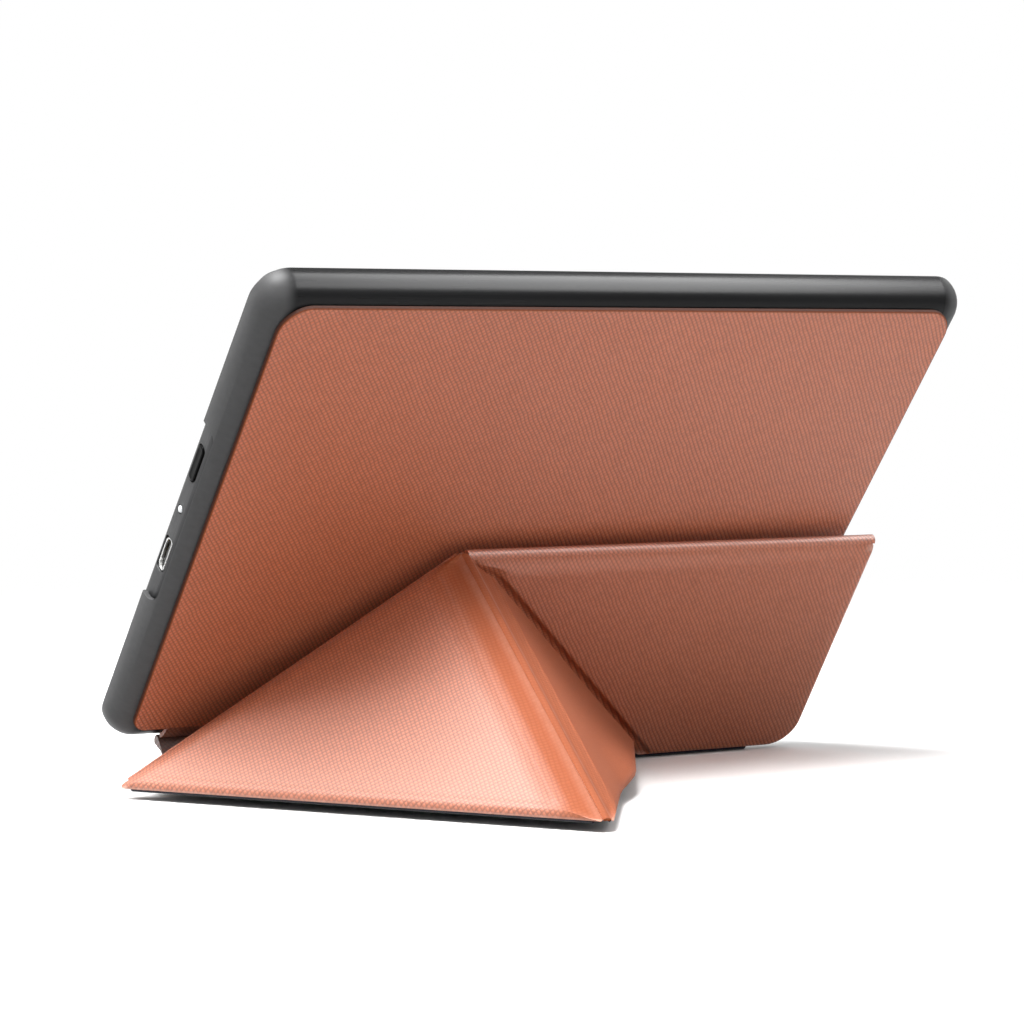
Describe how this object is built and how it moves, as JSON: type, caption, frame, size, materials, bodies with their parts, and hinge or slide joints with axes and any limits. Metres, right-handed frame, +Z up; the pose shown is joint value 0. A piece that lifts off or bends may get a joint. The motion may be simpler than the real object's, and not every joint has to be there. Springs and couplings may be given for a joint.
{
  "type": "e-reader in a folding stand case",
  "caption": "E-reader in a clip-on shell case, propped landscape by its leather cover, which folds along triangular creases into a stand and opens flat to close over the screen.",
  "frame": {"origin": "on the table under the middle of the stand's plan box", "axes": "+X along the reader towards its top end, +Y towards the reader's screen, +Z up"},
  "size_m": [0.1718, 0.1126, 0.1074],
  "materials": {
    "case_plastic": "satin moulded black, glossier on the rounded rim",
    "reader_plastic": "soft matt black",
    "button_plastic": "satin black",
    "brown_leather": "coated leather with a fine cross grain",
    "dark_lining": "short napped microfibre",
    "grey_board": "pressed fibre board",
    "clear_sheet": "matt clear cover sheet",
    "clear_plastic": "clear moulded plastic",
    "paper_white": "matt paper white film on glass",
    "circuit_board": "green solder mask",
    "light_metal": "plain pressed sheet",
    "silver_foil": "laminated foil pouch",
    "steel": "bright plated steel"
  },
  "bodies": {
    "reader_case": {"case_shell": "case_plastic", "back_skin": "brown_leather", "rear_housing": "reader_plastic", "front_bezel": "reader_plastic", "screen_lens": "clear_sheet", "light_guide": "clear_plastic", "epaper_display": "paper_white", "front_light_strip": "circuit_board", "midframe": "light_metal", "midframe_screw_1": "steel", "midframe_screw_2": "steel", "midframe_screw_3": "steel", "midframe_screw_4": "steel", "battery": "silver_foil", "main_board": "circuit_board", "shield_can": "light_metal", "usb_receptacle": "steel", "usb_tongue": "reader_plastic", "tact_switch": "steel", "status_light_pipe": "clear_plastic"},
    "button": {"power_button": "button_plastic"},
    "spine": {"spine_skin": "brown_leather", "spine_lining": "dark_lining"},
    "hinge_panel": {"hinge_panel_skin": "brown_leather", "hinge_panel_board": "grey_board", "hinge_panel_lining": "dark_lining"},
    "flap_panel": {"flap_panel_skin": "brown_leather", "flap_panel_board": "grey_board", "flap_panel_lining": "dark_lining", "wake_magnet": "steel", "closing_magnet": "steel"},
    "leg_panel": {"leg_panel_skin": "brown_leather", "leg_panel_board": "grey_board", "leg_panel_lining": "dark_lining"},
    "brace_panel": {"brace_panel_skin": "brown_leather", "brace_panel_board": "grey_board", "brace_panel_lining": "dark_lining"}
  },
  "joints": [
    {"name": "button_press", "type": "slide", "parent": "reader_case", "child": "button", "axis": [1, 0, 0], "range_m": [0, 0.0004], "stiffness_N_per_m": 3000},
    {"name": "cover_swing", "type": "hinge", "parent": "reader_case", "child": "spine", "pos_m": [0, 0.05135, 0.01057], "axis": [1, 0, 0], "range_deg": [0, 157]},
    {"name": "spine_crease", "type": "hinge", "parent": "spine", "child": "hinge_panel", "pos_m": [-0.0859, 0.04455, 0.00129], "axis": [1, 0, 0], "range_deg": [0, 207.2]},
    {"name": "cover_fold", "type": "hinge", "parent": "hinge_panel", "child": "flap_panel", "pos_m": [-0.0219, 0.01216, 0.04916], "axis": [-1, 0, 0], "range_deg": [0, 179]},
    {"name": "leg_crease", "type": "hinge", "parent": "hinge_panel", "child": "leg_panel", "pos_m": [-0.0219, 0.01216, 0.04916], "axis": [-0.7421, 0.3756, -0.5551], "range_deg": [0, 84.24]},
    {"name": "brace_crease", "type": "hinge", "parent": "flap_panel", "child": "brace_panel", "pos_m": [-0.0219, 0.01216, 0.04916], "axis": [0.7421, 0.3756, -0.5551], "range_deg": [0, 84.24]}
  ],
  "couplings": [
    {"joint": "spine_crease", "follows": "cover_fold", "ratio": 1.1575},
    {"joint": "leg_crease", "follows": "cover_fold", "ratio": 0.47062},
    {"joint": "brace_crease", "follows": "cover_fold", "ratio": 0.47062}
  ]
}
